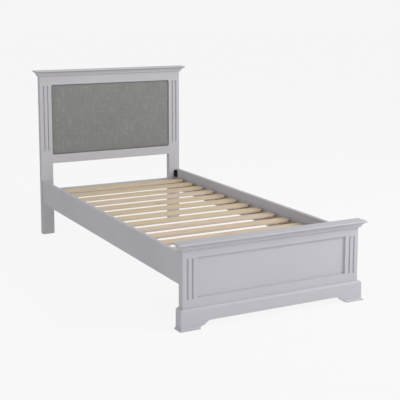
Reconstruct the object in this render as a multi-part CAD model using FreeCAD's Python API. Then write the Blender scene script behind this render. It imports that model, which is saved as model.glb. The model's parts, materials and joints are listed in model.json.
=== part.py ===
import FreeCAD, Part
import math
import os
from FreeCAD import Placement, Rotation, Vector

# Single bed frame of painted wood: a tall headboard with an upholstered panel, a low footboard on a
# bracket-foot plinth, two side rails bolted between them and a deck of pine slats.
# Millimetres. +X is to the right seen from the foot, +Y runs from foot to head and +Z is up.
# The origin is on the floor, at the middle of the overall width and length.

# Mattress space
rail_gap = 907.0
board_gap = 1920.0

# Side rails
rail_thickness = 21.0
rail_height = 143.0
rail_setback = 3.0
rail_edge_radius = 2.0
rail_end_ease = 4.0

# Headboard
headboard_height = 1030.0
head_post_width = 75.0
head_post_thickness = 36.0
head_rail_thickness = 26.0
frieze_height = 55.5
middle_rail_height = 54.0
headboard_gap = 167.0
opening_corner_radius = 14.0
low_rail_height = 60.0
low_rail_thickness = 22.0
back_panel_thickness = 5.0
back_panel_lap = 31.0
back_panel_side_gap = 0.5
leg_bottom_radius = 2.5

# Upholstered pad
pad_edge_gap = 0.8
pad_edge_recess = 5.0
pad_crown = 3.5
pad_edge_roll = 10.0
pad_cover_thickness = 1.5
pad_board_thickness = 9.0
pad_inner_gap = 0.3

# Footboard
footboard_height = 399.0
footboard_rise = 55.0
foot_post_width = 75.0
foot_post_thickness = 40.0
foot_rail_thickness = 24.0
foot_top_rail_height = 36.5
bottom_rail_reveal = 43.0
foot_panel_thickness = 8.0
foot_panel_recess = 9.0
panel_tongue = 8.0
panel_edge_gap = 0.5
panel_face_gap = 0.1

# Flutes in the posts
flute_radius = 4.0
flute_depth = 7.0
head_flute_top_gap = 3.0
head_flute_bottom_gap = 26.0
foot_flute_top_gap = 1.0
foot_flute_bottom_gap = -4.0
post_edge_radius = 1.5

# Cornice moulding and cap board
cap_thickness = 9.5
cap_lip = 3.0
cap_top_radius = 4.5
cap_edge_radius = 4.5
cornice_foot = 3.0
ovolo_radius = 7.0
cornice_fillet = 2.0
cove_run = 18.0
cove_rise = 17.0
cove_hollow = 2.5

# Plinth with bracket feet
plinth_height = 99.0
plinth_thickness = 15.0
plinth_roundover = 13.0
plinth_arch_height = 34.5
plinth_foot_length = 100.0
ogee_run = 52.0
bottom_rail_lap = 39.0
shoe_height = 11.0
shoe_flare = 9.0
shoe_top_land = 1.0
shoe_end_slope = 8.0

# Tenons of the cross rails
tenon_thickness = 10.0
tenon_length = 25.0
tenon_shoulder = 12.0
tenon_end_gap = 1.0

# Slats and the ledgers that carry them
slat_count = 13
slat_width = 75.0
slat_thickness = 9.5
slat_drop = 53.0
slat_end_gap = 9.0
slat_board_gap = 77.0
slat_corner_radius = 28.0
slat_edge_radius = 1.5
ledger_width = 30.0
ledger_height = 30.0
ledger_end_gap = 5.0

# Angle brackets at the rail ends
bracket_height = 46.0
bracket_drop = 8.0
bracket_post_leg = 17.0
bracket_rail_leg = 23.0
bracket_plate = 3.0
bracket_corner_radius = 6.0
bracket_hole_pitch = 24.0

# Bolts and threaded inserts
bolt_radius = 3.0
bolt_head_radius = 5.0
bolt_head_height = 3.2
bolt_length = 22.0
bolt_socket_width = 4.0
bolt_socket_depth = 2.0
insert_radius = 5.0
insert_length = 14.0
metal_clearance = 0.1
bolt_hole_clearance = 0.3
bolt_end_room = 3.0

# Wood screws and dowels
screw_radius = 2.0
screw_head_radius = 4.0
screw_clearance = 0.15
screw_slot_width = 0.9
screw_slot_length = 4.4
screw_slot_depth = 1.5
slat_screw_length = 28.0
slat_screw_inset = 9.0
ledger_screw_length = 44.0
ledger_screw_count = 6
bracket_screw_length = 18.0
pad_screw_length = 12.0
pad_screw_inset = 88.0
panel_screw_length = 18.0
panel_screw_inset = 60.0
plinth_screw_length = 33.0
plinth_screw_inset = 100.0
screws_per_row = 4
dowel_radius = 4.0
dowel_length = 40.0
dowel_clearance = 0.1
dowel_end_room = 1.0
dowel_low = 30.0
dowel_pitch = 35.0

# Glides under the legs
glide_radius = 11.0
glide_thickness = 2.0
glide_pin_radius = 1.5
glide_pin_length = 9.0

# Places across the bed
half_gap = rail_gap / 2
half_span = half_gap + rail_thickness + rail_setback
half_rail = half_span - rail_setback
head_opening = half_span - head_post_width
foot_opening = half_span - foot_post_width
cornice_projection = cornice_foot + ovolo_radius + cove_run
cornice_height = ovolo_radius + cornice_fillet + cove_rise
cap_overhang = cornice_projection + cap_lip
shoe_projection = plinth_thickness + shoe_flare

# Places along the bed
overall_length = cap_overhang + foot_post_thickness + board_gap + head_post_thickness
foot_front = cap_overhang - overall_length / 2
foot_back = foot_front + foot_post_thickness
head_front = foot_back + board_gap
head_back = head_front + head_post_thickness
head_rail_back = head_front + head_rail_thickness
foot_rail_back = foot_front + foot_rail_thickness
low_rail_front = head_back - low_rail_thickness
panel_front = foot_front + foot_panel_recess
panel_back = panel_front + foot_panel_thickness

# Heights of the footboard, whose panel fills what its rails and plinth leave
foot_cap_bottom = footboard_height - cap_thickness
foot_cornice_bottom = foot_cap_bottom - cornice_height
panel_top = foot_cornice_bottom - foot_top_rail_height
panel_bottom = plinth_height + bottom_rail_reveal
bottom_rail_bottom = plinth_height - bottom_rail_lap
shoe_top = glide_thickness + shoe_height

# Heights of the side rails and the slat deck, which hang below the footboard's top
rail_top = footboard_height - footboard_rise
rail_bottom = rail_top - rail_height
slat_top = rail_top - slat_drop
slat_bottom = slat_top - slat_thickness
ledger_bottom = slat_bottom - ledger_height
low_rail_bottom = slat_bottom - low_rail_height
bracket_top = rail_top - bracket_drop
bracket_middle = bracket_top - bracket_height / 2
half_slat = half_gap - slat_end_gap
slat_pitch = (board_gap - 2 * slat_board_gap - slat_width) / (slat_count - 1)

# Heights of the headboard, whose pad fills what its rails and the open gap leave
head_cap_bottom = headboard_height - cap_thickness
head_cornice_bottom = head_cap_bottom - cornice_height
pad_top = head_cornice_bottom - frieze_height
middle_rail_bottom = slat_bottom + headboard_gap
pad_bottom = middle_rail_bottom + middle_rail_height
pad_height = pad_top - pad_bottom

# The sides of the bed, and each board's face towards the mattress with its direction
sides = {"left": -1, "right": 1}
board_faces = {"head": (head_front, -1), "foot": (foot_back, 1)}
along_x = Vector(1, 0, 0)
along_y = Vector(0, 1, 0)
along_z = Vector(0, 0, 1)
same_place = 1e-6


# Basic shapes
def block(corner, opposite):
    low = [min(a, b) for a, b in zip(corner, opposite)]
    size = [abs(a - b) for a, b in zip(corner, opposite)]
    return Part.makeBox(*size, Vector(*low))


def line(start, end):
    return Part.LineSegment(Vector(*start), Vector(*end)).toShape()


def arc(start, middle, end):
    return Part.Arc(Vector(*start), Vector(*middle), Vector(*end)).toShape()


def prism(edges, direction):
    return Part.Face(Part.Wire(edges)).extrude(direction)


def plan_prism(points, low, high):
    corners = [Vector(x, y, low) for x, y in points]
    outline = Part.makePolygon(corners + corners[:1])
    return Part.Face(outline).extrude(Vector(0, 0, high - low))


def edges_along(shape, direction, test):
    found = []
    for edge in shape.Edges:
        run = edge.Vertexes[-1].Point.sub(edge.Vertexes[0].Point)
        if run.Length == 0 or run.normalize().cross(direction).Length > same_place:
            continue
        if test(edge.CenterOfMass):
            found.append(edge)
    return found


def cut_all(shape, cutters):
    for cutter in cutters:
        shape = shape.cut(cutter)
    return shape


def driven(shape, point, direction):
    placed = shape.copy()
    placed.Placement = Placement(Vector(*point), Rotation(Vector(0, 0, -1), direction))
    return placed


def evenly(low, high, count):
    step = (high - low) / (count - 1)
    return [low + step * index for index in range(count)]


# Fasteners, made pointing down from the origin
def screw_body(length, grow):
    head_depth = screw_head_radius - screw_radius
    head = Part.makeCone(screw_head_radius + grow, screw_radius + grow, head_depth, Vector(), -along_z)
    neck = Vector(0, 0, -head_depth)
    return head.fuse(Part.makeCylinder(screw_radius + grow, length - head_depth + grow, neck, -along_z))


def screw(length):
    half_length = screw_slot_length / 2
    half_width = screw_slot_width / 2
    slot = block((-half_length, -half_width, 0), (half_length, half_width, -screw_slot_depth))
    cross = block((-half_width, -half_length, 0), (half_width, half_length, -screw_slot_depth))
    return screw_body(length, 0).cut(slot.fuse(cross))


def screws_at(sites, length):
    return [driven(screw(length), point, direction) for point, direction in sites]


def screw_holes(sites, length):
    hole = screw_body(length, screw_clearance)
    return [driven(hole, point, direction) for point, direction in sites]


def bolt():
    head = Part.makeCylinder(bolt_head_radius, bolt_head_height)
    shank = Part.makeCylinder(bolt_radius, bolt_length, Vector(), -along_z)
    corners = [math.radians(60 * step) for step in range(6)]
    across = bolt_socket_width / math.sqrt(3)
    hexagon = [(across * math.cos(turn), across * math.sin(turn)) for turn in corners]
    socket = plan_prism(hexagon, bolt_head_height - bolt_socket_depth, bolt_head_height)
    return head.fuse(shank).cut(socket)


def insert():
    sleeve = Part.makeCylinder(insert_radius, insert_length, Vector(), -along_z)
    return sleeve.cut(Part.makeCylinder(bolt_radius + metal_clearance, insert_length, Vector(), -along_z))


def insert_hole():
    socket_radius = insert_radius + metal_clearance
    socket = Part.makeCylinder(socket_radius, insert_length, Vector(), -along_z)
    depth = bolt_length - bracket_plate + bolt_end_room
    return socket.fuse(Part.makeCylinder(bolt_radius + metal_clearance, depth, Vector(), -along_z))


def dowel_hole():
    radius = dowel_radius + dowel_clearance
    reach = dowel_length / 2 + dowel_end_room
    return Part.makeCylinder(radius, 2 * reach, Vector(0, 0, reach), -along_z)


def glide():
    disc = Part.makeCylinder(glide_radius, glide_thickness)
    return disc.fuse(Part.makeCylinder(glide_pin_radius, glide_thickness + glide_pin_length))


def glide_hole(site):
    radius = glide_pin_radius + metal_clearance
    depth = glide_thickness + glide_pin_length + metal_clearance
    return Part.makeCylinder(radius, depth, Vector(*site))


# Where the fasteners go: a point on the surface and the way they are driven
def bolt_sites():
    across = half_gap - bracket_plate - (bracket_post_leg - bracket_plate) / 2
    heights = [bracket_middle - bracket_hole_pitch / 2, bracket_middle + bracket_hole_pitch / 2]
    return [
        (side, board, (sign * across, face, height), Vector(0, -inward, 0))
        for side, sign in sides.items()
        for board, (face, inward) in board_faces.items()
        for height in heights
    ]


def bracket_screw_sites():
    along = bracket_plate + (bracket_rail_leg - bracket_plate) / 2
    heights = [bracket_middle - bracket_hole_pitch / 2, bracket_middle + bracket_hole_pitch / 2]
    return [
        ((sign * (half_gap - bracket_plate), face + inward * along, height), Vector(sign, 0, 0))
        for sign in sides.values()
        for face, inward in board_faces.values()
        for height in heights
    ]


def dowel_sites():
    across = half_rail - rail_thickness / 2
    heights = [rail_bottom + dowel_low, rail_bottom + dowel_low + dowel_pitch]
    return [
        ((sign * across, face, height), along_y)
        for sign in sides.values()
        for face, inward in board_faces.values()
        for height in heights
    ]


def slat_middle(index):
    return head_front - slat_board_gap - slat_width / 2 - slat_pitch * index


def slat_screw_sites():
    across = half_slat - slat_screw_inset
    return [
        ((sign * across, slat_middle(index), slat_top), -along_z)
        for sign in sides.values()
        for index in range(slat_count)
    ]


def ledger_screw_sites():
    gaps = evenly(0, slat_count - 2, ledger_screw_count)
    height = slat_bottom - ledger_height / 2
    return [
        ((sign * (half_gap - ledger_width), slat_middle(round(gap) + 0.5), height), Vector(sign, 0, 0))
        for sign in sides.values()
        for gap in gaps
    ]


def row_sites(half_width, inset, back, heights):
    places = evenly(inset - half_width, half_width - inset, screws_per_row)
    return [((x, back, height), -along_y) for x in places for height in heights]


def pad_screw_sites():
    heights = [pad_bottom + pad_screw_inset, pad_top - pad_screw_inset]
    return row_sites(head_opening, pad_screw_inset, head_rail_back + back_panel_thickness, heights)


def back_panel_screw_sites():
    heights = [pad_bottom - back_panel_lap / 2, pad_top + back_panel_lap / 2]
    return row_sites(head_opening, panel_screw_inset, head_rail_back + back_panel_thickness, heights)


def plinth_screw_sites():
    height = (plinth_height - plinth_roundover + bottom_rail_bottom) / 2
    return row_sites(foot_opening, plinth_screw_inset, foot_rail_back, [height])


def glide_sites():
    head_place = half_span - head_post_width / 2
    foot_place = half_span - foot_post_width / 2
    head_middle = (head_front + head_back) / 2
    foot_middle = (foot_front + foot_back) / 2
    return [
        (sign * across, along, 0)
        for sign in sides.values()
        for across, along in [(head_place, head_middle), (foot_place, foot_middle)]
    ]


# Joinery shared by the boards
def cross_rail(opening, front, back, low, high):
    """A rail between two posts, with a tenon at each end and no opening corners."""
    middle = (front + back) / 2
    reach = opening + tenon_length
    tenon_low = (-reach, middle - tenon_thickness / 2, low + tenon_shoulder)
    tenon_high = (reach, middle + tenon_thickness / 2, high - tenon_shoulder)
    return block((-opening, front, low), (opening, back, high)).fuse(block(tenon_low, tenon_high))


def mortise(sign, opening, front, back, low, high):
    middle = (front + back) / 2
    depth = opening + tenon_length + tenon_end_gap
    near = (sign * opening, middle - tenon_thickness / 2, low + tenon_shoulder)
    far = (sign * depth, middle + tenon_thickness / 2, high - tenon_shoulder)
    return block(near, far)


def flutes(sign, post_width, front, low, high):
    """Two round-bottomed grooves with round ends, which part the post's face into thirds."""
    cutters = []
    for share in (1, 2):
        across = sign * (half_span - post_width * share / 3)
        foot, head = low + flute_radius, high - flute_radius
        bottom = front + flute_depth - flute_radius
        cutters.append(block((across - flute_radius, front, foot), (across + flute_radius, bottom, head)))
        cutters.append(Part.makeCylinder(flute_radius, head - foot, Vector(across, bottom, foot)))
        for height in (foot, head):
            start = Vector(across, front, height)
            cutters.append(Part.makeCylinder(flute_radius, bottom - front, start, along_y))
            cutters.append(Part.makeSphere(flute_radius, Vector(across, bottom, height)))
    return cutters


def post_blank(sign, width, front, back, low, high):
    post = block((sign * half_span, front, low), (sign * (half_span - width), back, high))
    outer = edges_along(post, along_z, lambda middle: abs(middle.x - sign * half_span) < same_place)
    return post.makeFillet(post_edge_radius, outer)


def post_fastener_holes(board, side):
    sign = sides[side]
    holes = []
    for hole_side, hole_board, point, direction in bolt_sites():
        if (hole_side, hole_board) == (side, board):
            holes.append(driven(insert_hole(), point, direction))
    for point, direction in dowel_sites():
        if point[0] * sign > 0:
            holes.append(driven(dowel_hole(), point, direction))
    return holes + [glide_hole(site) for site in glide_sites()]


# Cornice mouldings, shared by the headboard and the footboard
def cornice_outline(place):
    """The moulding's section; place turns a projection and a height into a point."""
    half = math.sqrt(0.5)
    ovolo_top = cornice_foot + ovolo_radius
    cove_low = ovolo_radius + cornice_fillet
    ovolo_middle = place(cornice_foot + ovolo_radius * half, ovolo_radius * (1 - half))
    chord = math.hypot(cove_run, cove_rise)
    cove_out = ovolo_top + cove_run / 2 - cove_hollow * cove_rise / chord
    cove_up = cove_low + cove_rise / 2 + cove_hollow * cove_run / chord
    cornice_top = place(cornice_projection, cornice_height)
    return [
        line(place(0, 0), place(cornice_foot, 0)),
        arc(place(cornice_foot, 0), ovolo_middle, place(ovolo_top, ovolo_radius)),
        line(place(ovolo_top, ovolo_radius), place(ovolo_top, cove_low)),
        arc(place(ovolo_top, cove_low), place(cove_out, cove_up), cornice_top),
        line(cornice_top, place(0, cornice_height)),
        line(place(0, cornice_height), place(0, 0)),
    ]


def front_mitre(projection, front, low, high):
    reach = half_span + projection
    out = front - projection
    return plan_prism([(-reach, out), (reach, out), (half_span, front), (-half_span, front)], low, high)


def return_mitre(sign, projection, front, back, low, high):
    reach = sign * (half_span + projection)
    inner = sign * half_span
    out = front - projection
    return plan_prism([(reach, out), (inner, front), (inner, back), (reach, back)], low, high)


def cornice_front(front, bottom):
    reach = half_span + cornice_projection
    outline = cornice_outline(lambda out, up: (-reach, front - out, bottom + up))
    moulding = prism(outline, Vector(2 * reach, 0, 0))
    return moulding.common(front_mitre(cornice_projection, front, bottom, bottom + cornice_height))


def cornice_return(sign, front, back, bottom):
    start = front - cornice_projection
    outline = cornice_outline(lambda out, up: (sign * (half_span + out), start, bottom + up))
    moulding = prism(outline, Vector(0, back - start, 0))
    mitre = return_mitre(sign, cornice_projection, front, back, bottom, bottom + cornice_height)
    return moulding.common(mitre)


def cap_board(front, back, bottom):
    reach = half_span + cap_overhang
    out = front - cap_overhang
    cap = block((-reach, out, bottom), (reach, back, bottom + cap_thickness))
    edges = edges_along(cap, along_x, lambda middle: abs(middle.y - out) < same_place)
    edges += edges_along(cap, along_y, lambda middle: True)
    upper = [edge for edge in edges if edge.CenterOfMass.z > bottom + cap_thickness / 2]
    cap = cap.makeFillet(cap_top_radius, upper)
    lower = edges_along(cap, along_x, lambda middle: middle.y - out + middle.z - bottom < same_place)
    lower += edges_along(cap, along_y, lambda middle: reach - abs(middle.x) + middle.z - bottom < same_place)
    return cap.makeFillet(cap_edge_radius, lower)


# Headboard
def headboard_post(side):
    sign = sides[side]
    post = post_blank(sign, head_post_width, head_front, head_back, glide_thickness, head_cap_bottom)
    on_floor = [edge for edge in post.Edges if edge.BoundBox.ZMax < glide_thickness + same_place]
    post = post.makeFillet(leg_bottom_radius, on_floor)
    low, high = pad_bottom + head_flute_bottom_gap, pad_top - head_flute_top_gap
    cutters = flutes(sign, head_post_width, head_front, low, high)
    for front, back, bottom, top in head_rail_places():
        cutters.append(mortise(sign, head_opening, front, back, bottom, top))
    return cut_all(post, cutters + post_fastener_holes("head", side))


def head_rail_places():
    return [
        (head_front, head_rail_back, pad_top, head_cap_bottom),
        (head_front, head_rail_back, middle_rail_bottom, pad_bottom),
        (low_rail_front, head_back, low_rail_bottom, slat_bottom),
    ]


def opening_corner(sign, edge, upward):
    """The web that rounds one corner of the pad's opening, on the edge of a rail."""
    radius = opening_corner_radius
    short = radius * (1 - math.sqrt(0.5))
    corner = (sign * head_opening, head_front, edge)
    along = (sign * (head_opening - radius), head_front, edge)
    up = (sign * head_opening, head_front, edge + upward * radius)
    middle = (sign * (head_opening - short), head_front, edge + upward * short)
    outline = [line(corner, along), arc(along, middle, up), line(up, corner)]
    return prism(outline, Vector(0, head_rail_thickness, 0))


def headboard_top_rail():
    rail = cross_rail(head_opening, head_front, head_rail_back, pad_top, head_cap_bottom)
    for sign in sides.values():
        rail = rail.fuse(opening_corner(sign, pad_top, -1))
    return cut_all(rail.removeSplitter(), screw_holes(back_panel_screw_sites(), panel_screw_length))


def headboard_middle_rail():
    rail = cross_rail(head_opening, head_front, head_rail_back, middle_rail_bottom, pad_bottom)
    for sign in sides.values():
        rail = rail.fuse(opening_corner(sign, pad_bottom, 1))
    return cut_all(rail.removeSplitter(), screw_holes(back_panel_screw_sites(), panel_screw_length))


def headboard_low_rail():
    return cross_rail(head_opening, low_rail_front, head_back, low_rail_bottom, slat_bottom)


def headboard_back_panel():
    half_width = head_opening - back_panel_side_gap
    low = (-half_width, head_rail_back, pad_bottom - back_panel_lap)
    high = (half_width, head_rail_back + back_panel_thickness, pad_top + back_panel_lap)
    panel = cut_all(block(low, high), screw_holes(back_panel_screw_sites(), panel_screw_length))
    return cut_all(panel, screw_holes(pad_screw_sites(), pad_screw_length))


# Upholstered pad
def pad_section(inset, depth):
    """A rounded rectangle across the pad, inset from the opening, at one depth."""
    half_width = head_opening - inset
    low, high = pad_bottom + inset, pad_top - inset
    radius = opening_corner_radius + inset / 3
    short = radius * (1 - math.sqrt(0.5))

    def corner(x_sign, edge, upward):
        side_end = (x_sign * half_width, depth, edge + upward * radius)
        middle = (x_sign * (half_width - short), depth, edge + upward * short)
        rail_end = (x_sign * (half_width - radius), depth, edge)
        return side_end, middle, rail_end

    lower_right = corner(1, low, 1)
    upper_right = corner(1, high, -1)
    upper_left = corner(-1, high, -1)
    lower_left = corner(-1, low, 1)
    edges = [
        line(lower_left[2], lower_right[2]),
        arc(*reversed(lower_right)),
        line(lower_right[0], upper_right[0]),
        arc(*upper_right),
        line(upper_right[2], upper_left[2]),
        arc(*reversed(upper_left)),
        line(upper_left[0], lower_left[0]),
        arc(*lower_left),
    ]
    return Part.Wire(edges)


def pad_form(skin, back):
    """The padded form, taken in by a skin: straight sides, a rolled edge and a crowned face."""
    edge_face = head_front + pad_edge_recess + skin
    roll_start = edge_face + pad_edge_roll
    outside = pad_edge_gap + skin
    sections = [pad_section(outside, back), pad_section(outside, roll_start)]
    for degrees in (30, 60, 90):
        turn = math.radians(degrees)
        inset = outside + pad_edge_roll * (1 - math.cos(turn))
        sections.append(pad_section(inset, roll_start - pad_edge_roll * math.sin(turn)))
    crown_start = outside + pad_edge_roll
    crown_run = pad_height / 3 - crown_start
    for share in (0.2, 0.45, 0.7, 1.0):
        rise = pad_crown * (1 - (1 - share) ** 2)
        sections.append(pad_section(crown_start + crown_run * share, edge_face - rise))
    return Part.makeLoft(sections, True, True)


def headboard_pad_cover():
    inside = pad_form(pad_cover_thickness, head_rail_back + pad_cover_thickness)
    return pad_form(0, head_rail_back).cut(inside)


def headboard_pad_foam():
    skin = pad_cover_thickness + pad_inner_gap
    return pad_form(skin, head_rail_back - pad_board_thickness)


def headboard_pad_board():
    inset = pad_edge_gap + pad_cover_thickness + pad_inner_gap
    outline = pad_section(inset, head_rail_back - pad_board_thickness)
    board = Part.Face(outline).extrude(Vector(0, pad_board_thickness, 0))
    return cut_all(board, screw_holes(pad_screw_sites(), pad_screw_length))


# Footboard
def foot_rail_places():
    return [
        (foot_front, foot_rail_back, panel_top, foot_cap_bottom),
        (foot_front, foot_rail_back, bottom_rail_bottom, panel_bottom),
    ]


def panel_groove():
    half_width = foot_opening + panel_tongue
    low = (-half_width, panel_front - panel_face_gap, panel_bottom - panel_tongue)
    high = (half_width, panel_back + panel_face_gap, panel_top + panel_tongue)
    return block(low, high)


def footboard_post(side):
    sign = sides[side]
    post = post_blank(sign, foot_post_width, foot_front, foot_back, shoe_top, foot_cap_bottom)
    low, high = panel_bottom + foot_flute_bottom_gap, panel_top - foot_flute_top_gap
    cutters = flutes(sign, foot_post_width, foot_front, low, high)
    for front, back, bottom, top in foot_rail_places():
        cutters.append(mortise(sign, foot_opening, front, back, bottom, top))
    cutters.append(panel_groove())
    return cut_all(post, cutters + post_fastener_holes("foot", side))


def footboard_rail(front, back, bottom, top):
    rail = cross_rail(foot_opening, front, back, bottom, top).cut(panel_groove())
    return cut_all(rail, screw_holes(plinth_screw_sites(), plinth_screw_length))


def footboard_panel():
    tongue = panel_tongue - panel_edge_gap
    half_width = foot_opening + tongue
    low = (-half_width, panel_front, panel_bottom - tongue)
    high = (half_width, panel_back, panel_top + tongue)
    return block(low, high)


# Plinth
def plinth_outline(place):
    """The plinth board's section: a flat face with a rounded top edge."""
    half = math.sqrt(0.5)
    land = plinth_thickness - plinth_roundover
    shoulder = plinth_height - plinth_roundover
    middle = place(land + plinth_roundover * half, shoulder + plinth_roundover * half)
    return [
        line(place(0, shoe_top), place(plinth_thickness, shoe_top)),
        line(place(plinth_thickness, shoe_top), place(plinth_thickness, shoulder)),
        arc(place(plinth_thickness, shoulder), middle, place(land, plinth_height)),
        line(place(land, plinth_height), place(0, plinth_height)),
        line(place(0, plinth_height), place(0, shoe_top)),
    ]


def plinth_arch():
    """The space between the bracket feet, closed at each end by an ogee of two equal arcs."""
    front = foot_front - plinth_thickness
    foot_end = half_span + plinth_thickness - plinth_foot_length
    arch_end = foot_end - ogee_run
    rise = plinth_arch_height - shoe_top
    radius = (ogee_run ** 2 + rise ** 2) / (4 * rise)
    quarter = math.atan(rise / ogee_run)
    out = radius * math.sin(quarter)
    up = radius * (1 - math.cos(quarter))

    def point(x, z):
        return (x, front, z)

    def ogee(sign):
        start = point(sign * foot_end, shoe_top)
        lower = point(sign * (foot_end - out), shoe_top + up)
        middle = point(sign * (foot_end - ogee_run / 2), shoe_top + rise / 2)
        upper = point(sign * (arch_end + out), plinth_arch_height - up)
        end = point(sign * arch_end, plinth_arch_height)
        return [arc(start, lower, middle), arc(middle, upper, end)]

    sill = line(point(-foot_end, shoe_top), point(foot_end, shoe_top))
    crown = line(point(arch_end, plinth_arch_height), point(-arch_end, plinth_arch_height))
    return prism([sill] + ogee(1) + [crown] + ogee(-1)[::-1], Vector(0, plinth_thickness, 0))


def plinth_front():
    reach = half_span + plinth_thickness
    outline = plinth_outline(lambda out, up: (-reach, foot_front - out, up))
    board = prism(outline, Vector(2 * reach, 0, 0))
    board = board.common(front_mitre(plinth_thickness, foot_front, shoe_top, plinth_height))
    return cut_all(board.cut(plinth_arch()), screw_holes(plinth_screw_sites(), plinth_screw_length))


def plinth_return(side):
    sign = sides[side]
    start = foot_front - plinth_thickness
    outline = plinth_outline(lambda out, up: (sign * (half_span + out), start, up))
    board = prism(outline, Vector(0, foot_back - start, 0))
    mitre = return_mitre(sign, plinth_thickness, foot_front, foot_back, shoe_top, plinth_height)
    return board.common(mitre)


def plinth_shoe(side):
    """The flared block under one bracket foot, coved in front and outside, with its inner end sloped."""
    sign = sides[side]
    outer = half_span + shoe_projection
    inner = half_span + plinth_thickness - plinth_foot_length
    front = foot_front - shoe_projection
    sloped = inner + shoe_end_slope
    corners = [(outer, glide_thickness), (sloped, glide_thickness), (inner, shoe_top), (outer, shoe_top)]
    points = [(sign * x, front, z) for x, z in corners]
    outline = [line(start, end) for start, end in zip(points, points[1:] + points[:1])]
    shoe = prism(outline, Vector(0, foot_back - front, 0))
    cove = shoe_flare - shoe_top_land
    corner = Vector(sign * outer, front, shoe_top)
    front_cove = Part.makeCylinder(cove, outer - inner, corner, Vector(-sign, 0, 0))
    side_cove = Part.makeCylinder(cove, foot_back - front, corner, along_y)
    return cut_all(shoe, [front_cove, side_cove] + [glide_hole(site) for site in glide_sites()])


# Side rails and ledgers
def side_rail(side):
    sign = sides[side]
    low = (sign * half_rail, foot_back, rail_bottom)
    rail = block(low, (sign * half_gap, head_front, rail_top))
    rail = rail.makeFillet(rail_edge_radius, edges_along(rail, along_y, lambda middle: True))
    for face, inward in board_faces.values():
        outer, eased = sign * half_rail, sign * (half_rail - rail_end_ease)
        ease = [(outer, face), (eased, face), (outer, face + inward * rail_end_ease)]
        rail = rail.cut(plan_prism(ease, rail_bottom, rail_top))
    holes = [driven(dowel_hole(), *site) for site in dowel_sites() if site[0][0] * sign > 0]
    holes += screw_holes(bracket_screw_sites(), bracket_screw_length)
    holes += screw_holes(ledger_screw_sites(), ledger_screw_length)
    return cut_all(rail, holes)


def slat_ledger(side):
    sign = sides[side]
    low = (sign * half_gap, foot_back + ledger_end_gap, ledger_bottom)
    high = (sign * (half_gap - ledger_width), head_front - ledger_end_gap, slat_bottom)
    holes = screw_holes(ledger_screw_sites(), ledger_screw_length)
    holes += screw_holes(slat_screw_sites(), slat_screw_length)
    return cut_all(block(low, high), [hole for hole in holes if hole.BoundBox.Center.x * sign > 0])


# Angle brackets
def angle_bracket(side, board):
    sign = sides[side]
    face, inward = board_faces[board]
    low = bracket_top - bracket_height

    def leg(across, along):
        far = (sign * (half_gap - across), face + inward * along, bracket_top)
        return block((sign * half_gap, face, low), far)

    def rounded(plate, direction, at_free_end):
        return plate.makeFillet(bracket_corner_radius, edges_along(plate, direction, at_free_end))

    free_side = sign * (half_gap - bracket_post_leg)
    free_end = face + inward * bracket_rail_leg
    post_leg = leg(bracket_post_leg, bracket_plate)
    post_leg = rounded(post_leg, along_y, lambda middle: abs(middle.x - free_side) < same_place)
    rail_leg = leg(bracket_plate, bracket_rail_leg)
    rail_leg = rounded(rail_leg, along_x, lambda middle: abs(middle.y - free_end) < same_place)
    bracket = post_leg.fuse(rail_leg).removeSplitter()
    hole_radius = bolt_radius + bolt_hole_clearance
    for hole_side, hole_board, point, direction in bolt_sites():
        if (hole_side, hole_board) == (side, board):
            start = Vector(*point) - direction * bracket_plate
            bracket = bracket.cut(Part.makeCylinder(hole_radius, bracket_plate, start, direction))
    return cut_all(bracket, screw_holes(bracket_screw_sites(), bracket_screw_length))


# Slats
def slat(index):
    middle = slat_middle(index)
    half_width = slat_width / 2
    board = block((-half_slat, middle - half_width, slat_bottom), (half_slat, middle + half_width, slat_top))
    board = board.makeFillet(slat_corner_radius, edges_along(board, along_z, lambda middle: True))
    upper = [edge for edge in board.Edges if edge.BoundBox.ZMin > slat_top - same_place]
    board = board.makeFillet(slat_edge_radius, upper)
    sites = [site for site in slat_screw_sites() if abs(site[0][1] - middle) < half_width]
    return cut_all(board, screw_holes(sites, slat_screw_length))


# Groups of like fasteners
def bracket_bolts():
    bolts = []
    for side, board, point, direction in bolt_sites():
        bolts.append(driven(bolt(), Vector(*point) - direction * bracket_plate, direction))
    return bolts


def post_inserts():
    return [driven(insert(), point, direction) for side, board, point, direction in bolt_sites()]


def rail_dowels():
    pin = Part.makeCylinder(dowel_radius, dowel_length, Vector(0, 0, dowel_length / 2), -along_z)
    return [driven(pin, point, direction) for point, direction in dowel_sites()]


def leg_glides():
    glides = []
    for site in glide_sites():
        placed = glide()
        placed.translate(Vector(*site))
        glides.append(placed)
    return glides


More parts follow.
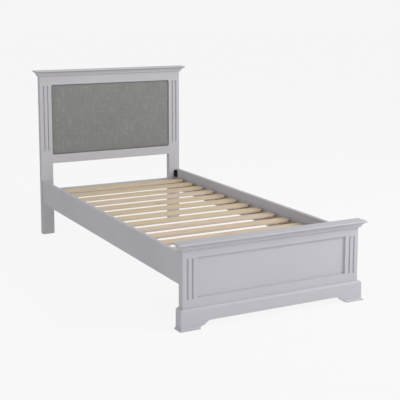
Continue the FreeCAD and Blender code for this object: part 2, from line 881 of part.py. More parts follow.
def all_nodes():
    nodes = {
        "headboard_top_rail": [headboard_top_rail()],
        "headboard_middle_rail": [headboard_middle_rail()],
        "headboard_low_rail": [headboard_low_rail()],
        "headboard_cap": [cap_board(head_front, head_back, head_cap_bottom)],
        "headboard_cornice_front": [cornice_front(head_front, head_cornice_bottom)],
        "headboard_back_panel": [headboard_back_panel()],
        "headboard_back_panel_screws": screws_at(back_panel_screw_sites(), panel_screw_length),
        "headboard_pad_board": [headboard_pad_board()],
        "headboard_pad_foam": [headboard_pad_foam()],
        "headboard_pad_cover": [headboard_pad_cover()],
        "headboard_pad_screws": screws_at(pad_screw_sites(), pad_screw_length),
        "footboard_panel": [footboard_panel()],
        "footboard_cap": [cap_board(foot_front, foot_back, foot_cap_bottom)],
        "footboard_cornice_front": [cornice_front(foot_front, foot_cornice_bottom)],
        "plinth_front": [plinth_front()],
        "plinth_screws": screws_at(plinth_screw_sites(), plinth_screw_length),
        "ledger_screws": screws_at(ledger_screw_sites(), ledger_screw_length),
        "rail_dowels": rail_dowels(),
        "bracket_bolts": bracket_bolts(),
        "bracket_screws": screws_at(bracket_screw_sites(), bracket_screw_length),
        "post_inserts": post_inserts(),
        "slat_screws": screws_at(slat_screw_sites(), slat_screw_length),
        "leg_glides": leg_glides(),
    }
    for name, place in zip(("footboard_top_rail", "footboard_bottom_rail"), foot_rail_places()):
        nodes[name] = [footboard_rail(*place)]
    for side, sign in sides.items():
        nodes[f"headboard_{side}_post"] = [headboard_post(side)]
        nodes[f"footboard_{side}_post"] = [footboard_post(side)]
        head_return = cornice_return(sign, head_front, head_back, head_cornice_bottom)
        foot_return = cornice_return(sign, foot_front, foot_back, foot_cornice_bottom)
        nodes[f"headboard_cornice_{side}"] = [head_return]
        nodes[f"footboard_cornice_{side}"] = [foot_return]
        nodes[f"plinth_{side}_return"] = [plinth_return(side)]
        nodes[f"plinth_{side}_shoe"] = [plinth_shoe(side)]
        nodes[f"{side}_side_rail"] = [side_rail(side)]
        nodes[f"{side}_slat_ledger"] = [slat_ledger(side)]
        for board in board_faces:
            nodes[f"{board}_{side}_bracket"] = [angle_bracket(side, board)]
    for index in range(slat_count):
        nodes[f"slat_{index + 1:02d}"] = [slat(index)]
    return nodes


def main():
    os.makedirs("parts", exist_ok=True)
    for name, shapes in all_nodes().items():
        solids = [solid for shape in shapes for solid in shape.Solids]
        node = solids[0] if len(solids) == 1 else Part.makeCompound(solids)
        node.exportStep(f"parts/{name}.step")
        volume = sum(solid.Volume for solid in solids) / 1000
        print(f"{name}: {len(solids)} solids, {volume:.1f} cm3, valid {node.isValid()}")


main()
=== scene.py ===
import json
import math
import bmesh
import bpy
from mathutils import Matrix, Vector, noise


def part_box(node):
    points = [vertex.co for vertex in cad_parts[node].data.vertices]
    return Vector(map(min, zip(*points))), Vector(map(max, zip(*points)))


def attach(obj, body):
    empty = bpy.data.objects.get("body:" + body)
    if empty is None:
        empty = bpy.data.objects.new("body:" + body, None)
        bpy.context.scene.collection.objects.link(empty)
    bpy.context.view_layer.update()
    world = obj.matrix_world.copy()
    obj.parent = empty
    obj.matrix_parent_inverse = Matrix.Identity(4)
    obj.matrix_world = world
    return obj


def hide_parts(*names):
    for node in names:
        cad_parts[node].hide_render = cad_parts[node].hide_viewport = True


# A painted single bed frame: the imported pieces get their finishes, the headboard's pad is upholstered,
# and the bed stands on a pale floor in soft light. Metres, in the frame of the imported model.

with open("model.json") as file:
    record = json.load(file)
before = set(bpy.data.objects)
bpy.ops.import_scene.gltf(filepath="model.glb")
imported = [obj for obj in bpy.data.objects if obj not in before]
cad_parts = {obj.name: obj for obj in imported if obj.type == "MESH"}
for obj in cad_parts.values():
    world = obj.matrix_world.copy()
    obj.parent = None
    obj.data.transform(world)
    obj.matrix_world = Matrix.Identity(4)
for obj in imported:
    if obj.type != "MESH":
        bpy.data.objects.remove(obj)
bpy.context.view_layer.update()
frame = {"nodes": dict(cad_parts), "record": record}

# Colours, as linear light
paint_grey = (0.515, 0.508, 0.538, 1)
paint_worn = (0.62, 0.615, 0.64, 1)
paint_shade = (0.455, 0.45, 0.478, 1)
pine_early = (0.692, 0.551, 0.41, 1)
pine_late = (0.556, 0.405, 0.288, 1)
pine_pale = (0.746, 0.629, 0.507, 1)
pine_yellow = (0.683, 0.566, 0.366, 1)
pine_knot = (0.20, 0.115, 0.07, 1)
# Darker end grain of the slats together with painted shade where they meet the rails
endgrain_and_shade_brown = (0.15, 0.10, 0.068, 1)
# Sawn pine for the ledgers, darkened partly as painted shade
sawn_pale = (0.43, 0.33, 0.25, 1)
sawn_dark_and_shade = (0.24, 0.165, 0.112, 1)
beech_pale = (0.60, 0.42, 0.26, 1)
beech_fleck = (0.42, 0.26, 0.15, 1)
linen_dark = (0.183, 0.186, 0.178, 1)
linen_mid = (0.246, 0.25, 0.24, 1)
linen_light = (0.37, 0.375, 0.361, 1)
black_coat = (0.012, 0.012, 0.013, 1)
black_worn = (0.05, 0.05, 0.052, 1)
zinc_bright = (0.62, 0.62, 0.60, 1)
zinc_dull = (0.42, 0.42, 0.41, 1)
glide_black = (0.02, 0.02, 0.02, 1)
glide_scuffed = (0.08, 0.08, 0.08, 1)
foam_cream = (0.72, 0.68, 0.52, 1)
foam_shade = (0.50, 0.46, 0.33, 1)
floor_white = (0.94, 0.94, 0.94, 1)
floor_glow = (0.95, 0.95, 0.95, 1)
backdrop_white = (0.92, 0.92, 0.92, 1)
sky_light = (0.97, 0.98, 1.0, 1)

# The camera, fitted to the photograph's view of the bed
camera_place = (-2.2556, -4.5474, 1.4456)
camera_yaw = math.radians(27.614)
camera_pitch = math.radians(8.399)
camera_lens = 84.05
camera_shift = -0.15

# The light: an even sky, a soft lamp above the right of the foot, one beside the camera
# and a weak one overhead. The floor shows mostly its glow, so that it meets the backdrop without a line.
sky_strength = 0.528
lamp_place = Vector((2.5, -2.5, 2.1))
lamp_aim = Vector((0, -0.4, 0.4))
lamp_side = 1.6
lamp_watts = 76
fill_place = Vector((-2.9, -4.6, 1.1))
fill_aim = Vector((-0.3, 0.6, 0.4))
fill_side = 2.0
fill_watts = 40
overhead_place = Vector((-0.3, 0.3, 1.9))
overhead_aim = Vector((0.3, 0.2, 0.3))
overhead_side = 1.2
overhead_watts = 4.1
floor_glow_share = 0.93
floor_reach = 40

# Lengths in the finishes
relief_depth = {
    "paint": 0.00022,
    "pine": 0.00025,
    "sawn pine": 0.0004,
    "linen": 0.0006,
    "slub": 0.0002,
    "powder coat": 0.00012,
    "zinc": 0.00005,
    "beech": 0.0001,
    "plywood": 0.0001,
    "foam": 0.0004,
    "plastic": 0.0001,
}
paint_rub_radius = 0.0016
coat_rub_radius = 0.0008
ring_pitch = 0.0058
ring_wander = 0.05
ring_drift = 0.006
pith_height = 0.20
pith_height_spread = 0.05
pith_offset_spread = 0.09
yarn_pitch = 0.0022
ply_pair = 0.003

# Patterns in the finishes, as repeats per metre:
# the same all round, along and across a board, or on X, Y and Z
paint_cloud_scale = 2.5
paint_stroke_scale = (5, 420)
paint_pore_scale = (22, 1300)
paint_rub_scale = 28
ring_wander_scale = (1.6, 5, 5)
ring_drift_scale = (6, 16, 16)
fibre_scale = (9, 620, 620)
knot_scale = (5.2, 15, 4)
sawn_figure_scale = (45, 2.2, 45)
sawn_fibre_scale = (520, 8, 520)
saw_mark_scale = (3, 330, 3)
warp_scale = (420, 1, 11)
weft_scale = (11, 1, 420)
long_warp_scale = (125, 1, 15)
long_weft_scale = (15, 1, 125)
linen_cloud_scale = 7
twist_scale = 900
peel_scale = 1400
coat_rub_scale = 220
zinc_cloud_scale = 260
fleck_scale = (900, 70, 900)
ply_figure_scale = (3, 60, 45)
foam_cell_scale = 700
scuff_scale = 130
floor_cloud_scale = 0.7

# The upholstered pad
pad_roll = 0.010
pad_crown = 0.0035
pad_corner = 0.0143
pad_cell = 0.008
pad_edge_rows = [0, 0.0008, 0.0025, 0.005, 0.0085, 0.013]
pad_crown_share = 2 / 3
pucker_depth = 0.0005
pucker_reach = 0.016
pucker_pitch = 0.052
pucker_wander = 3
pucker_change = 6
cloth_frames = 16
cloth_pressure = 3.0
cloth_quality = 5
cloth_stretch = 40
cloth_bend = 2
cloth_held_depth = pad_crown + pad_roll / 3
cloth_cap = 0.0012
smallest_move = 1e-9

# Slubs, the thick places of the pad's yarn
slub_sizes = {
    "Slubs per area": 3000.0,
    "Flat enough": 0.99,
    "Thinnest": 0.00025,
    "Thickest": 0.00045,
    "Shortest": 0.005,
    "Longest": 0.022,
    "Weft share": 0.35,
}
slub_lean = 0.05
slub_segments = 5
slub_rings = 6
slub_seed = 7


# Node graphs
class Signal:
    """One value in a graph. Sums and products of signals add the nodes that work them out."""

    def __init__(self, graph, socket):
        self.graph = graph
        self.socket = socket

    def math(self, operation, *others):
        sockets = dict(enumerate([self, *others]))
        return self.graph.add("ShaderNodeMath", {"operation": operation}, sockets)

    def __add__(self, other):
        return self.math("ADD", other)

    def __sub__(self, other):
        return self.math("SUBTRACT", other)

    def __rsub__(self, other):
        return self.graph.add("ShaderNodeMath", {"operation": "SUBTRACT"}, {0: other, 1: self})

    def __mul__(self, other):
        return self.math("MULTIPLY", other)

    def __truediv__(self, other):
        return self.math("DIVIDE", other)

    def __pow__(self, other):
        return self.math("POWER", other)

    __radd__ = __add__
    __rmul__ = __mul__

    def sine(self):
        return self.math("SINE")

    def floor(self):
        return self.math("FLOOR")

    def step(self, low, high):
        """0 at low, 1 at high and a smooth change between."""
        spread = {"Value": self, "From Min": low, "From Max": high}
        return self.graph.add("ShaderNodeMapRange", {"interpolation_type": "SMOOTHSTEP"}, spread)


class Graph:
    """A node tree that is built from its nodes' types, settings and sockets."""

    def __init__(self, tree):
        self.tree = tree
        self.tree.nodes.clear()

    def add(self, kind, settings=None, sockets=None, output=0):
        node = self.tree.nodes.new(kind)
        for name, value in (settings or {}).items():
            setattr(node, name, value)
        for name, value in (sockets or {}).items():
            if isinstance(value, Signal):
                self.tree.links.new(value.socket, node.inputs[name])
            else:
                node.inputs[name].default_value = value
        return Signal(self, node.outputs[output]) if node.outputs else None


class Finish(Graph):
    """One material and the nodes that make it."""

    def __init__(self, name):
        self.material = bpy.data.materials.new(name)
        self.material.use_nodes = True
        super().__init__(self.material.node_tree)
        self.place = self.add("ShaderNodeTexCoord", output="Object")

    def axis(self, name):
        return self.add("ShaderNodeSeparateXYZ", {}, {0: self.place}, name)

    def scaled(self, scale):
        return self.add("ShaderNodeMapping", {}, {"Vector": self.place, "Scale": scale})

    def noise(self, scale, detail=2.0, roughness=0.5, distortion=0.0):
        """Soft noise. The scale is its repeats per metre on X, Y and Z."""
        sockets = {"Vector": self.scaled(scale), "Scale": 1.0, "Detail": detail}
        sockets.update({"Roughness": roughness, "Distortion": distortion})
        return self.add("ShaderNodeTexNoise", {}, sockets)

    def cells(self, scale, output):
        sockets = {"Vector": self.scaled(scale), "Scale": 1.0}
        return self.add("ShaderNodeTexVoronoi", {}, sockets, output)

    def mix(self, factor, first, second):
        sockets = {0: factor, 6: first, 7: second}
        return self.add("ShaderNodeMix", {"data_type": "RGBA"}, sockets, output=2)

    def bump(self, height, distance, strength):
        sockets = {"Height": height, "Distance": distance, "Strength": strength}
        return self.add("ShaderNodeBump", {}, sockets)

    def facing(self):
        return self.add("ShaderNodeNewGeometry", output="Normal")

    def edges(self, radius):
        """1 on edges and corners, 0 on flat stretches."""
        rounded = self.add("ShaderNodeBevel", {"samples": 4}, {"Radius": radius})
        dot = {"operation": "DOT_PRODUCT"}
        likeness = self.add("ShaderNodeVectorMath", dot, {0: rounded, 1: self.facing()}, "Value")
        return (1 - likeness).step(0.02, 0.3)

    def surface(self, sockets):
        shader = self.add("ShaderNodeBsdfPrincipled", {}, sockets)
        self.add("ShaderNodeOutputMaterial", {}, {"Surface": shader})
        return self.material


# Finishes
def along(axis, lengthwise, across):
    """A pattern's scale, drawn out along one axis."""
    return tuple(lengthwise if name == axis else across for name in "xyz")


def even(scale):
    """A pattern's scale, the same on all three axes."""
    return (scale, scale, scale)


def paint(axis):
    """Satin grey paint, brushed along the board, thin over the grain and rubbed on its edges."""
    finish = Finish(f"grey_paint_along_{axis}")
    cloud = finish.noise(even(paint_cloud_scale), detail=3)
    strokes = finish.noise(along(axis, *paint_stroke_scale), detail=1)
    pores = finish.noise(along(axis, *paint_pore_scale), detail=2, roughness=0.6)
    patchy = finish.noise(even(paint_rub_scale)).step(0.42, 0.62)
    rubbed = finish.edges(paint_rub_radius) * patchy
    toned = finish.mix(cloud.step(0.3, 0.75) * 0.3 + strokes * 0.12, paint_grey, paint_shade)
    colour = finish.mix(rubbed * 0.55, toned, paint_worn)
    relief = strokes * 0.65 + pores.step(0.35, 0.7) * 0.35
    return finish.surface({
        "Base Color": colour,
        "Roughness": 0.48 + cloud * 0.10 + strokes * 0.08,
        "Specular IOR Level": 0.3,
        "Normal": finish.bump(relief, relief_depth["paint"], 0.5),
    })


def pine(first_middle, pitch):
    """Planed pine cut along X: wandering year rings, fine fibres, a few knots, and dark ends that are
    darker end grain together with painted shade where the slats meet the rails.

    Each slat gets its own tone and its own place in the log, picked by its number.
    """
    finish = Finish("planed_pine")
    y, z = finish.axis("Y"), finish.axis("Z")
    index = ((first_middle - y) / pitch + 0.5).floor()
    chance = finish.add("ShaderNodeTexWhiteNoise", {"noise_dimensions": "1D"}, {"W": index})
    middle = first_middle - index * pitch + (chance - 0.5) * pith_offset_spread
    wander = finish.noise(ring_wander_scale, detail=2)
    drift = finish.noise(ring_drift_scale, detail=1)
    above_pith = z - pith_height - chance * pith_height_spread
    beside_pith = y - middle
    straight = (beside_pith * beside_pith + above_pith * above_pith) ** 0.5
    radius = straight + wander * ring_wander + drift * ring_drift
    rings = (radius * (2 * math.pi / ring_pitch)).sine().step(-0.2, 1.0)
    fibres = finish.noise(fibre_scale, detail=2, roughness=0.6)
    knot_place = finish.cells(knot_scale, "Distance")
    knot_draw = finish.add("ShaderNodeSeparateColor", {}, {0: finish.cells(knot_scale, "Color")})
    has_knot = knot_draw.step(0.62, 0.66)
    knot = (1 - knot_place.step(0.05, 0.13)) * has_knot
    halo = (1 - knot_place.step(0.10, 0.34)) * has_knot
    # The slat ends and rounded corners, found by which way they face, are painted dark brown: partly
    # darker end grain, partly painted shade against the rails
    lengthwise = finish.add("ShaderNodeSeparateXYZ", {}, {0: finish.facing()}, "X")
    endgrain_and_shade = lengthwise.math("ABSOLUTE").step(0.2, 0.6)
    tint = finish.add("ShaderNodeTexWhiteNoise", {"noise_dimensions": "1D"}, {"W": index + 0.5})
    yellowed = tint.step(0.35, 0.9) * 0.75 + drift.step(0.5, 0.7) * 0.2
    timber = finish.mix(chance * 0.55 + 0.1, pine_early, pine_pale)
    tinted = finish.mix(yellowed, timber, pine_yellow)
    grained = finish.mix(rings * 0.42 + fibres * 0.22, tinted, pine_late)
    haloed = finish.mix(halo * 0.35, grained, pine_late)
    knotted = finish.mix(knot * 0.8, haloed, pine_knot)
    colour = finish.mix(endgrain_and_shade * 0.9, knotted, endgrain_and_shade_brown)
    relief = rings * 0.5 + fibres * 0.5
    return finish.surface({
        "Base Color": colour,
        "Roughness": 0.56 + fibres * 0.16 - knot * 0.15 + endgrain_and_shade * 0.2,
        "Specular IOR Level": 0.3,
        "Normal": finish.bump(relief, relief_depth["pine"], 0.6),
    })


def sawn_pine():
    """Rough pine strips cut along Y, with saw marks across the grain. Their dark tone is partly that of
    sawn pine and partly painted shade for the ledgers' place between the slats and the rails.
    """
    finish = Finish("sawn_pine")
    figure = finish.noise(sawn_figure_scale, detail=3, distortion=0.4)
    fibres = finish.noise(sawn_fibre_scale, detail=2, roughness=0.6)
    saw_marks = finish.noise(saw_mark_scale, detail=1)
    colour = finish.mix(figure.step(0.35, 0.7) * 0.6 + fibres * 0.3, sawn_pale, sawn_dark_and_shade)
    return finish.surface({
        "Base Color": colour,
        "Roughness": 0.72 + fibres * 0.18,
        "Specular IOR Level": 0.25,
        "Normal": finish.bump(fibres * 0.5 + saw_marks * 0.5, relief_depth["sawn pine"], 0.7),
    })


def linen():
    """Mid-grey plain weave: uneven yarns both ways, long thick and thin places, and a soft bloom."""
    finish = Finish("slubbed_linen")
    x, z = finish.axis("X"), finish.axis("Z")
    turn = 2 * math.pi / yarn_pitch
    weave = (x * turn).sine() * (z * turn).sine()
    warp = finish.noise(warp_scale, detail=2, roughness=0.6)
    weft = finish.noise(weft_scale, detail=2, roughness=0.6)
    long_warp = finish.noise(long_warp_scale, detail=1)
    long_weft = finish.noise(long_weft_scale, detail=1)
    slubs = warp.step(0.56, 0.78) * 0.3 + weft.step(0.60, 0.80) * 0.25
    streaks = long_warp.step(0.56, 0.68) * 0.7 + long_weft.step(0.58, 0.70) * 0.6
    thin = (1 - long_warp).step(0.56, 0.70) * 0.5 + (1 - long_weft).step(0.58, 0.72) * 0.4
    cloud = finish.noise(even(linen_cloud_scale), detail=3)
    shade = cloud.step(0.3, 0.7) * 0.2 + (1 - warp) * 0.2 + thin * 0.42
    shaded = finish.mix(shade, linen_mid, linen_dark)
    colour = finish.mix(slubs * 0.7 + streaks * 0.38, shaded, linen_light)
    relief = weave * 0.35 + warp * 0.35 + weft * 0.3
    return finish.surface({
        "Base Color": colour,
        "Roughness": 0.82 + cloud * 0.12,
        "Specular IOR Level": 0.15,
        "Sheen Weight": 0.2,
        "Sheen Roughness": 0.5,
        "Normal": finish.bump(relief, relief_depth["linen"], 0.6),
    })


def slub_yarn():
    """The thick places in the yarn, which stand up from the weave and catch the light."""
    finish = Finish("slub_yarn")
    twist = finish.noise(even(twist_scale), detail=1)
    return finish.surface({
        "Base Color": finish.mix(twist, linen_mid, linen_light),
        "Roughness": 0.8 + twist * 0.15,
        "Specular IOR Level": 0.15,
        "Normal": finish.bump(twist, relief_depth["slub"], 0.5),
    })


def powder_coat():
    """Black powder coat with a fine orange peel, worn grey on the bracket's edges."""
    finish = Finish("black_powder_coat")
    peel = finish.noise(even(peel_scale), detail=1)
    patchy = finish.noise(even(coat_rub_scale)).step(0.45, 0.65)
    scuff = finish.edges(coat_rub_radius) * patchy
    return finish.surface({
        "Base Color": finish.mix(scuff, black_coat, black_worn),
        "Roughness": 0.42 + peel * 0.2,
        "Normal": finish.bump(peel, relief_depth["powder coat"], 0.5),
    })


def zinc():
    """Zinc plate, bright in places and clouded in others."""
    finish = Finish("zinc_plate")
    cloud = finish.noise(even(zinc_cloud_scale), detail=3)
    return finish.surface({
        "Base Color": finish.mix(cloud, zinc_bright, zinc_dull),
        "Metallic": 1.0,
        "Roughness": 0.26 + cloud * 0.25,
        "Normal": finish.bump(cloud, relief_depth["zinc"], 0.4),
    })


def beech():
    """Turned beech with short dark flecks."""
    finish = Finish("turned_beech")
    fleck = finish.noise(fleck_scale, detail=2).step(0.5, 0.7)
    return finish.surface({
        "Base Color": finish.mix(fleck * 0.7, beech_pale, beech_fleck),
        "Roughness": 0.55 + fleck * 0.15,
        "Normal": finish.bump(fleck, relief_depth["beech"], 0.5),
    })


def plywood():
    """Birch plywood: plies across its thickness and long soft figure on its faces."""
    finish = Finish("birch_plywood")
    plies = (finish.axis("Y") * (2 * math.pi / ply_pair)).sine().step(-0.3, 0.3)
    figure = finish.noise(ply_figure_scale, detail=3, distortion=0.6)
    return finish.surface({
        "Base Color": finish.mix(plies * 0.35 + figure * 0.4, pine_pale, beech_pale),
        "Roughness": 0.6 + figure * 0.15,
        "Normal": finish.bump(figure, relief_depth["plywood"], 0.4),
    })


def foam():
    """Open foam with small round cells, darker in their hollows as painted shade."""
    finish = Finish("open_foam")
    # Each cell is darker towards its middle: painted shade in the hollow
    pores = finish.cells(even(foam_cell_scale), "Distance").step(0.1, 0.6)
    return finish.surface({
        "Base Color": finish.mix(pores, foam_shade, foam_cream),
        "Roughness": 0.9 + pores * 0.08,
        "Normal": finish.bump(pores, relief_depth["foam"], 0.6),
    })


def moulded_plastic():
    """Dark moulded plastic, scuffed by the floor."""
    finish = Finish("moulded_plastic")
    scuffs = finish.noise(even(scuff_scale), detail=4, roughness=0.7).step(0.5, 0.75)
    return finish.surface({
        "Base Color": finish.mix(scuffs, glide_black, glide_scuffed),
        "Roughness": 0.4 + scuffs * 0.35,
        "Normal": finish.bump(scuffs, relief_depth["plastic"], 0.4),
    })


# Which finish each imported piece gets
def brushed_axis(node):
    """The long axis of a painted board."""
    if "post" in node:
        return "z"
    if "side_rail" in node or node.endswith(("_left", "_right", "_return")):
        return "y"
    return "x"


def dress_packed_pieces(cover_finish):
    """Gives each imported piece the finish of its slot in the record."""
    slot_of = {part["node"]: part["material_slot"] for part in frame["record"]["subparts"]}
    first, second = (sum(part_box(name), Vector()) / 2 for name in ("slat_01", "slat_02"))
    painted = {axis: paint(axis) for axis in "xyz"}
    ledger_finish = sawn_pine()
    bare = {
        "pine": pine(first.y, first.y - second.y),
        "beech": beech(),
        "plywood": plywood(),
        "foam": foam(),
        "upholstery": cover_finish,
        "black_steel": powder_coat(),
        "zinc_steel": zinc(),
        "glide_plastic": moulded_plastic(),
    }
    for node, piece in frame["nodes"].items():
        slot = slot_of[node]
        if slot == "painted_wood":
            finish = painted[brushed_axis(node)]
        elif node.endswith("_slat_ledger"):
            finish = ledger_finish
        else:
            finish = bare[slot]
        for place in piece.material_slots:
            place.material = finish


# The upholstered pad
def lines_across(half_width):
    """Grid lines from one edge of the pad to the other, close together where the edge rolls."""
    inner = half_width - 2 * pad_edge_rows[-1]
    count = round(2 * inner / pad_cell)
    middle = [inner * (2 * step / count - 1) for step in range(count + 1)]
    edge = [half_width - row for row in pad_edge_rows]
    return [-place for place in edge] + middle + edge[::-1]


def within_corner(x, z, half_width, half_height):
    """The point, with each square corner of the pad pressed into a quarter round."""
    across = max(0.0, abs(x) - half_width + pad_corner) / pad_corner
    up = max(0.0, abs(z) - half_height + pad_corner) / pad_corner
    if across > 0 and up > 0:
        x = math.copysign(half_width - pad_corner * (1 - across * math.sqrt(1 - up ** 2 / 2)), x)
        z = math.copysign(half_height - pad_corner * (1 - up * math.sqrt(1 - across ** 2 / 2)), z)
    return x, z


def edge_distance(x, z, half_width, half_height):
    """How far the point lies inside the pad's outline."""
    beside = Vector((abs(x) - half_width + pad_corner, abs(z) - half_height + pad_corner))
    if min(beside) > 0:
        return pad_corner - beside.length
    return pad_corner - max(beside)


def pad_depth(inside, along_edge, half_height):
    """How far the cover lies behind the crown: a rolled edge, a slow crown and shallow puckers."""
    slope = max(0.0, 1 - inside / (half_height * pad_crown_share))
    depth = pad_crown * slope * slope
    if inside < pad_roll:
        depth += pad_roll - math.sqrt(max(0.0, pad_roll ** 2 - (pad_roll - inside) ** 2))
    wander = pucker_wander * noise.noise((along_edge * pucker_change, 0, 0))
    ripple = math.sin(2 * math.pi * along_edge / pucker_pitch + wander)
    return depth + pucker_depth * (1 + ripple) / 2 * math.exp(-inside / pucker_reach)


def pad_mesh():
    """The cover as a grid over the pad's front, with its rim drawn back to the flat back."""
    low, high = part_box("headboard_pad_cover")
    centre = (low + high) / 2
    half_width, half_height = (high.x - low.x) / 2, (high.z - low.z) / 2
    columns, rows = lines_across(half_width), lines_across(half_height)
    form = bmesh.new()
    grid = []
    for row in rows:
        points = []
        for column in columns:
            x, z = within_corner(column, row, half_width, half_height)
            inside = max(0.0, edge_distance(x, z, half_width, half_height))
            along_edge = x if half_height - abs(z) < half_width - abs(x) else z + half_width
            depth = pad_depth(inside, along_edge, half_height)
            points.append(form.verts.new((centre.x + x, low.y + depth, centre.z + z)))
        grid.append(points)
    for upper, lower in zip(grid[1:], grid):
        for index in range(len(columns) - 1):
            form.faces.new((lower[index], lower[index + 1], upper[index + 1], upper[index]))
    rim = [edge for edge in form.edges if edge.is_boundary]
    sides = bmesh.ops.extrude_edge_only(form, edges=rim)["geom"]
    for corner in sides:
        if isinstance(corner, bmesh.types.BMVert):
            corner.co.y = high.y
    bmesh.ops.recalc_face_normals(form, faces=form.faces)
    mesh = bpy.data.meshes.new("headboard_pad")
    form.to_mesh(mesh)
    form.free()
    return mesh


def new_piece(name, mesh):
    piece = bpy.data.objects.new(name, mesh)
    bpy.context.scene.collection.objects.link(piece)
    return piece


def settle_cloth(pad):
    """Lets the cover swell a little over its foam, held at its rolled edges, and keeps the move small."""
    held = pad.vertex_groups.new(name="held")
    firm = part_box("headboard_pad_cover")[0].y + cloth_held_depth
    held.add([corner.index for corner in pad.data.vertices if corner.co.y > firm], 1.0, "REPLACE")
    before = [corner.co.copy() for corner in pad.data.vertices]
    cloth = pad.modifiers.new("Cloth", "CLOTH")
    settings = cloth.settings
    settings.vertex_group_mass = "held"
    settings.use_pressure = True
    settings.uniform_pressure_force = cloth_pressure
    settings.effector_weights.gravity = 0
    settings.quality = cloth_quality
    settings.tension_stiffness = cloth_stretch
    settings.compression_stiffness = cloth_stretch
    settings.bending_stiffness = cloth_bend
    cloth.point_cache.frame_start = 1
    cloth.point_cache.frame_end = cloth_frames
    for step in range(1, cloth_frames + 1):
        bpy.context.scene.frame_set(step)
    settled = made_plain(pad, cloth)
    for corner, start in zip(settled.vertices, before):
        move = corner.co - start
        corner.co = start + move * min(1.0, cloth_cap / max(move.length, smallest_move))
    bpy.context.scene.frame_set(1)
    pad.data = settled


def made_plain(piece, modifier):
    """The piece's mesh with the modifier worked into it; the modifier is taken off."""
    mesh = bpy.data.meshes.new_from_object(piece.evaluated_get(bpy.context.evaluated_depsgraph_get()))
    piece.modifiers.remove(modifier)
    return mesh


def smoothed(piece):
    """The piece's mesh, divided once and rounded."""
    finer = piece.modifiers.new("Subdivision", "SUBSURF")
    finer.levels = finer.render_levels = 1
    return made_plain(piece, finer)


def slub_tree(yarn):
    """Spindles of thick yarn, lying along the warp or the weft on the flat of the cover."""
    tree = bpy.data.node_groups.new("scattered_slubs", "GeometryNodeTree")
    tree.interface.new_socket("Cover", in_out="INPUT", socket_type="NodeSocketGeometry")
    for name in slub_sizes:
        tree.interface.new_socket(name, in_out="INPUT", socket_type="NodeSocketFloat")
    tree.interface.new_socket("Slubs", in_out="OUTPUT", socket_type="NodeSocketGeometry")
    graph = Graph(tree)
    given = {name: graph.add("NodeGroupInput", output=name) for name in ["Cover", *slub_sizes]}

    def chance(low, high, seed):
        sockets = {2: low, 3: high, "Seed": slub_seed + seed}
        return graph.add("FunctionNodeRandomValue", {"data_type": "FLOAT"}, sockets, output=1)

    facing = graph.add("ShaderNodeSeparateXYZ", {}, {0: graph.add("GeometryNodeInputNormal")}, "Y")
    flat = facing.math("LESS_THAN", 0 - given["Flat enough"])
    scatter = {
        "Mesh": given["Cover"],
        "Selection": flat,
        "Density": given["Slubs per area"],
        "Seed": slub_seed,
    }
    points = graph.add("GeometryNodeDistributePointsOnFaces", {}, scatter)
    ball = {"Segments": slub_segments, "Rings": slub_rings, "Radius": 1.0}
    spindle = graph.add("GeometryNodeMeshUVSphere", {}, ball)
    thick = chance(given["Thinnest"], given["Thickest"], 1)
    reach = chance(given["Shortest"], given["Longest"], 2) * 0.5
    crosswise = chance(0.0, 1.0, 3)
    turned = crosswise.math("LESS_THAN", given["Weft share"]) * (math.pi / 2)
    lean = chance(-slub_lean, slub_lean, 4)
    turn = graph.add("ShaderNodeCombineXYZ", {}, {"Y": turned + lean})
    size = graph.add("ShaderNodeCombineXYZ", {}, {"X": thick, "Y": thick, "Z": reach})
    placed = {"Points": points, "Instance": spindle, "Rotation": turn, "Scale": size}
    yarns = graph.add("GeometryNodeInstanceOnPoints", {}, placed)
    real = graph.add("GeometryNodeRealizeInstances", {}, {"Geometry": yarns})
    dressed = graph.add("GeometryNodeSetMaterial", {}, {"Geometry": real, "Material": yarn})
    graph.add("NodeGroupOutput", {}, {"Slubs": dressed})
    return tree


def scattered_slubs(pad, yarn):
    """A mesh of all the slubs that lie on the pad."""
    slubs = new_piece("slubs", pad.data)
    modifier = slubs.modifiers.new("Slubs", "NODES")
    modifier.node_group = slub_tree(yarn)
    for socket in modifier.node_group.interface.items_tree:
        if socket.name in slub_sizes:
            modifier[socket.identifier] = slub_sizes[socket.name]
    mesh = made_plain(slubs, modifier)
    bpy.data.objects.remove(slubs)
    return mesh


def close_back_and_join(cover, slubs):
    """Closes the cover's flat back and adds the slubs, which take the second material."""
    form = bmesh.new()
    form.from_mesh(cover)
    rim = [edge for edge in form.edges if edge.is_boundary]
    bmesh.ops.triangle_fill(form, edges=rim, use_beauty=True)
    bmesh.ops.recalc_face_normals(form, faces=form.faces)
    count = len(form.faces)
    form.from_mesh(slubs)
    form.faces.ensure_lookup_table()
    for face in form.faces:
        face.material_index = int(face.index >= count)
        face.smooth = True
    form.to_mesh(cover)
    form.free()


def upholster(cover_finish, yarn_finish):
    pad = new_piece("headboard_pad", pad_mesh())
    settle_cloth(pad)
    pad.data = smoothed(pad)
    close_back_and_join(pad.data, scattered_slubs(pad, yarn_finish))
    pad.data.materials.clear()
    pad.data.materials.append(cover_finish)
    pad.data.materials.append(yarn_finish)
    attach(pad, "root")
    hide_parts("headboard_pad_cover", "headboard_pad_foam")


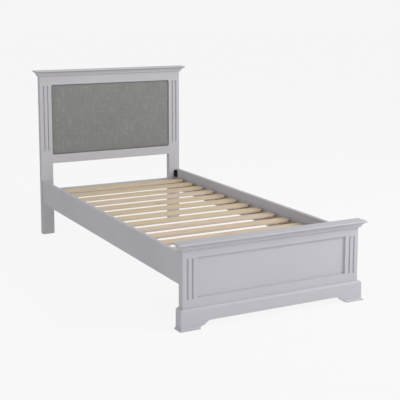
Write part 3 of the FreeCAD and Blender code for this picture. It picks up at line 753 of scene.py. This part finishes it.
# The stage
def pale_floor():
    floor = new_piece("floor", bpy.data.meshes.new("floor"))
    form = bmesh.new()
    bmesh.ops.create_grid(form, x_segments=1, y_segments=1, size=floor_reach)
    form.to_mesh(floor.data)
    form.free()
    finish = Finish("pale_floor")
    cloud = finish.noise(even(floor_cloud_scale))
    matt = finish.add("ShaderNodeBsdfDiffuse", {}, {"Color": floor_white, "Roughness": 0.9 + cloud * 0.1})
    glow = finish.add("ShaderNodeEmission", {}, {"Color": floor_glow, "Strength": 1.0})
    shown = seen_or_mirrored(finish) * floor_glow_share
    both = finish.add("ShaderNodeMixShader", {}, {0: shown, 1: matt, 2: glow})
    finish.add("ShaderNodeOutputMaterial", {}, {"Surface": both})
    floor.data.materials.append(finish.material)


def seen_or_mirrored(graph):
    """1 for what the camera sees straight or in a gloss, 0 for light on its way to the bed."""
    seen = graph.add("ShaderNodeLightPath", output="Is Camera Ray")
    mirrored = graph.add("ShaderNodeLightPath", output="Is Glossy Ray")
    return seen.math("MAXIMUM", mirrored)


def soft_light():
    world = bpy.data.worlds.new("sky")
    bpy.context.scene.world = world
    world.use_nodes = True
    graph = Graph(world.node_tree)
    sky = graph.add("ShaderNodeBackground", {}, {"Color": sky_light, "Strength": sky_strength})
    backdrop = graph.add("ShaderNodeBackground", {}, {"Color": backdrop_white, "Strength": 1.0})
    chosen = graph.add("ShaderNodeMixShader", {}, {0: seen_or_mirrored(graph), 1: sky, 2: backdrop})
    graph.add("ShaderNodeOutputWorld", {}, {"Surface": chosen})
    soft_lamp("main_lamp", lamp_place, lamp_aim, lamp_side, lamp_watts)
    soft_lamp("fill_lamp", fill_place, fill_aim, fill_side, fill_watts)
    soft_lamp("overhead_lamp", overhead_place, overhead_aim, overhead_side, overhead_watts)


def soft_lamp(name, place, aim, side, watts):
    lamp = bpy.data.lights.new(name, "AREA")
    lamp.shape = "SQUARE"
    lamp.size = side
    lamp.energy = watts
    holder = bpy.data.objects.new(name, lamp)
    holder.location = place
    holder.rotation_euler = (aim - place).to_track_quat("-Z", "Y").to_euler()
    holder.visible_camera = False
    bpy.context.scene.collection.objects.link(holder)


def photo_camera():
    lens = bpy.data.cameras.new("photo_view")
    lens.lens = camera_lens
    lens.shift_y = camera_shift
    camera = bpy.data.objects.new("photo_view", lens)
    camera.location = camera_place
    camera.rotation_euler = (math.pi / 2 - camera_pitch, 0, -camera_yaw)
    bpy.context.scene.collection.objects.link(camera)
    bpy.context.scene.camera = camera


bpy.context.scene.view_settings.view_transform = "Standard"
linen_cover = linen()
dress_packed_pieces(linen_cover)
upholster(linen_cover, slub_yarn())
pale_floor()
soft_light()
photo_camera()
